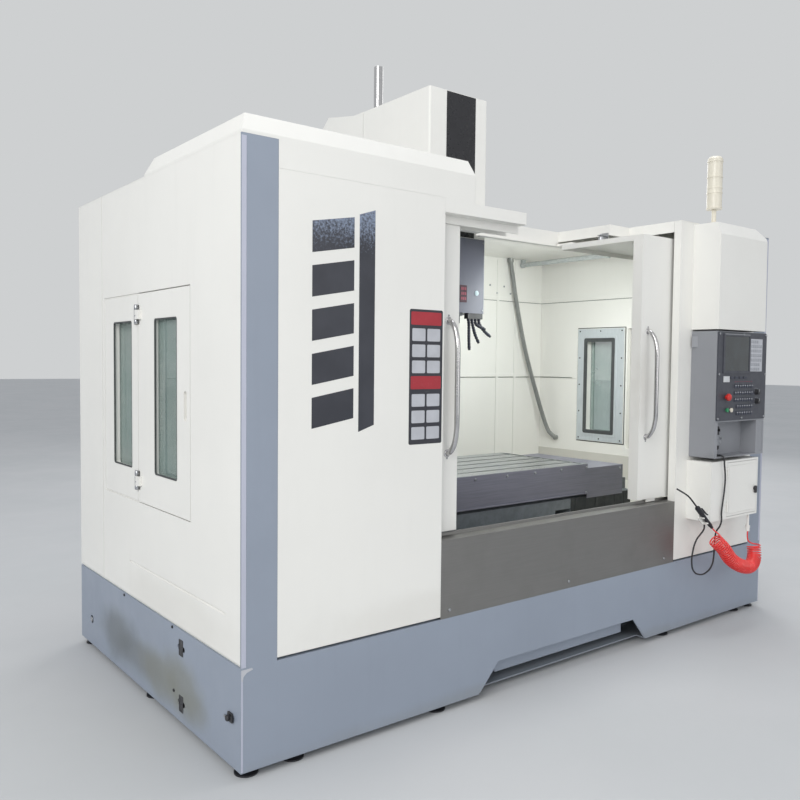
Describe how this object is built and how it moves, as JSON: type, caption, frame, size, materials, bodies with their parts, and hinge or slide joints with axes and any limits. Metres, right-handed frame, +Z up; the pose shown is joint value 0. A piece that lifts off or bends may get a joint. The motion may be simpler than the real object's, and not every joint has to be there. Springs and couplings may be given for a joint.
{
  "type": "cnc machining center",
  "caption": "Enclosed vertical machining center with sliding front doors, T-slot table, rising head, side access doors, and a console with screen and pendant.",
  "frame": {"origin": "bottom centre of the bounding box, on the floor", "axes": "+X to the right seen from the front, +Y to the back, +Z up"},
  "size_m": [3.632, 2.5349, 3.343],
  "materials": {
    "white_paint": "satin",
    "bluegrey_paint": "satin",
    "slate_paint": "satin",
    "grey_paint": "satin",
    "cover_paint": "satin",
    "casting": "painted, rough",
    "ground_iron": "ground",
    "stainless": "brushed",
    "steel": "machined",
    "chrome": "polished",
    "window": "clear, slightly green",
    "display": "gloss",
    "panel_black": "satin",
    "black_plastic": "matte",
    "black_steel": "black oxide",
    "light_tube": "frosted",
    "conduit_grey": "satin",
    "red_plastic": "gloss",
    "green_plastic": "gloss",
    "cream_plastic": "gloss",
    "hose_red": "translucent polyurethane",
    "cable_black": "matte"
  },
  "bodies": {
    "machine": {"base_pan": "bluegrey_paint", "leveling_feet": "black_steel", "bed": "casting", "column": "casting", "left_wall": "white_paint", "right_wall": "white_paint", "left_front_panel": "white_paint", "right_front_panel": "white_paint", "roof": "white_paint", "left_hood": "white_paint", "apron": "stainless", "back_wall": "white_paint", "wall_glass": "window", "column_cover": "white_paint", "mast_tube": "chrome", "work_light": "light_tube", "conduit": "conduit_grey", "chip_pan": "stainless", "carousel_arm": "grey_paint", "electrical_cabinet": "white_paint", "control_cabinet": "grey_paint", "control_panel": "panel_black", "screen": "display", "pendant": "black_plastic", "signal_tower": "cream_plastic", "air_gun": "black_steel", "air_hose": "hose_red", "pendant_cable": "cable_black"},
    "left_slide_door": {"left_door": "white_paint", "left_door_glass": "window", "left_handle": "chrome"},
    "right_slide_door": {"right_door": "white_paint", "right_door_glass": "window", "right_handle": "chrome"},
    "left_side_leaf": {"left_leaf": "white_paint", "left_leaf_glass": "window"},
    "right_side_leaf": {"right_leaf": "white_paint", "right_leaf_glass": "window"},
    "saddle_body": {"saddle": "casting"},
    "table_body": {"table": "ground_iron", "table_covers": "cover_paint"},
    "head": {"head_casting": "casting", "head_cover": "slate_paint", "motor_cover": "white_paint", "nozzles": "black_plastic"},
    "spindle_body": {"spindle": "steel"},
    "x_screw_body": {"x_screw": "steel"},
    "y_screw_body": {"y_screw": "steel"},
    "z_screw_body": {"z_screw": "steel"},
    "drum": {"carousel_drum": "steel"},
    "rear_door": {"cabinet_door": "white_paint"},
    "stop_cap": {"e_stop": "red_plastic"},
    "start_cap": {"start_button": "green_plastic"},
    "hold_cap": {"hold_button": "cream_plastic"},
    "feed_dial": {"feed_knob": "black_plastic"},
    "speed_dial": {"speed_knob": "black_plastic"},
    "handwheel": {"pendant_dial": "steel"},
    "locker_leaf": {"locker_door": "white_paint"},
    "latch": {"locker_latch": "black_plastic"},
    "trigger": {"gun_trigger": "black_steel"}
  },
  "joints": [
    {"name": "left_door_slide", "type": "slide", "parent": "machine", "child": "left_slide_door", "axis": [1, 0, 0], "range_m": [0, 0.72]},
    {"name": "right_door_slide", "type": "slide", "parent": "machine", "child": "right_slide_door", "axis": [1, 0, 0], "range_m": [-0.596, 0.124]},
    {"name": "left_leaf_hinge", "type": "hinge", "parent": "machine", "child": "left_side_leaf", "pos_m": [-1.807, -0.0545, 1.34], "axis": [0, 0, 1], "range_deg": [-110, 0]},
    {"name": "right_leaf_hinge", "type": "hinge", "parent": "machine", "child": "right_side_leaf", "pos_m": [1.807, -0.0545, 1.34], "axis": [0, 0, 1], "range_deg": [0, 110]},
    {"name": "y_axis", "type": "slide", "parent": "machine", "child": "saddle_body", "axis": [0, 1, 0], "range_m": [-0.197, 0.503]},
    {"name": "x_axis", "type": "slide", "parent": "saddle_body", "child": "table_body", "axis": [1, 0, 0], "range_m": [-0.65, 0.65]},
    {"name": "z_axis", "type": "slide", "parent": "machine", "child": "head", "axis": [0, 0, 1], "range_m": [-0.65, 0.05]},
    {"name": "spindle_turn", "type": "hinge", "parent": "head", "child": "spindle_body", "pos_m": [0, -0.0645, 1.72], "axis": [0, 0, 1], "continuous": true},
    {"name": "x_screw_turn", "type": "hinge", "parent": "saddle_body", "child": "x_screw_body", "pos_m": [0, -0.2175, 0.757], "axis": [1, 0, 0], "continuous": true},
    {"name": "y_screw_turn", "type": "hinge", "parent": "machine", "child": "y_screw_body", "pos_m": [0, 0.0455, 0.54], "axis": [0, 1, 0], "continuous": true},
    {"name": "z_screw_turn", "type": "hinge", "parent": "machine", "child": "z_screw_body", "pos_m": [0, 0.7175, 1.9], "axis": [0, 0, 1], "continuous": true},
    {"name": "drum_turn", "type": "hinge", "parent": "machine", "child": "drum", "pos_m": [-1, 0.2955, 1.9], "axis": [0, 0, 1], "continuous": true},
    {"name": "rear_door_hinge", "type": "hinge", "parent": "machine", "child": "rear_door", "pos_m": [1.508, 1.2095, 1.36], "axis": [0, 0, 1], "range_deg": [-120, 0]},
    {"name": "stop_press", "type": "slide", "parent": "machine", "child": "stop_cap", "axis": [0, 1, 0], "range_m": [0, 0.005], "stiffness_N_per_m": 600},
    {"name": "start_press", "type": "slide", "parent": "machine", "child": "start_cap", "axis": [0, 1, 0], "range_m": [0, 0.005], "stiffness_N_per_m": 300},
    {"name": "hold_press", "type": "slide", "parent": "machine", "child": "hold_cap", "axis": [0, 1, 0], "range_m": [0, 0.005], "stiffness_N_per_m": 300},
    {"name": "feed_turn", "type": "hinge", "parent": "machine", "child": "feed_dial", "pos_m": [1.402, -1.2145, 1.363], "axis": [0, 1, 0], "range_deg": [-120, 120]},
    {"name": "speed_turn", "type": "hinge", "parent": "machine", "child": "speed_dial", "pos_m": [1.406, -1.2145, 1.31], "axis": [0, 1, 0], "range_deg": [-120, 120]},
    {"name": "handwheel_turn", "type": "hinge", "parent": "machine", "child": "handwheel", "pos_m": [1.077, -1.1605, 1.098], "axis": [0, 1, 0], "continuous": true},
    {"name": "locker_hinge", "type": "hinge", "parent": "machine", "child": "locker_leaf", "pos_m": [1.139, -1.2085, 0.814], "axis": [0, 0, 1], "range_deg": [-90, 0]},
    {"name": "latch_turn", "type": "hinge", "parent": "locker_leaf", "child": "latch", "pos_m": [1.434, -1.2045, 0.799], "axis": [0, 1, 0], "range_deg": [0, 90]},
    {"name": "trigger_pull", "type": "hinge", "parent": "machine", "child": "trigger", "pos_m": [0.85312, -1.2165, 0.73284], "axis": [0, 1, 0], "range_deg": [0, 8], "stiffness_Nm_per_rad": 0.3}
  ],
  "couplings": [
    {"joint": "x_screw_turn", "follows": "x_axis", "rad_per_m": -392.7},
    {"joint": "y_screw_turn", "follows": "y_axis", "rad_per_m": -392.7},
    {"joint": "z_screw_turn", "follows": "z_axis", "rad_per_m": -392.7}
  ]
}
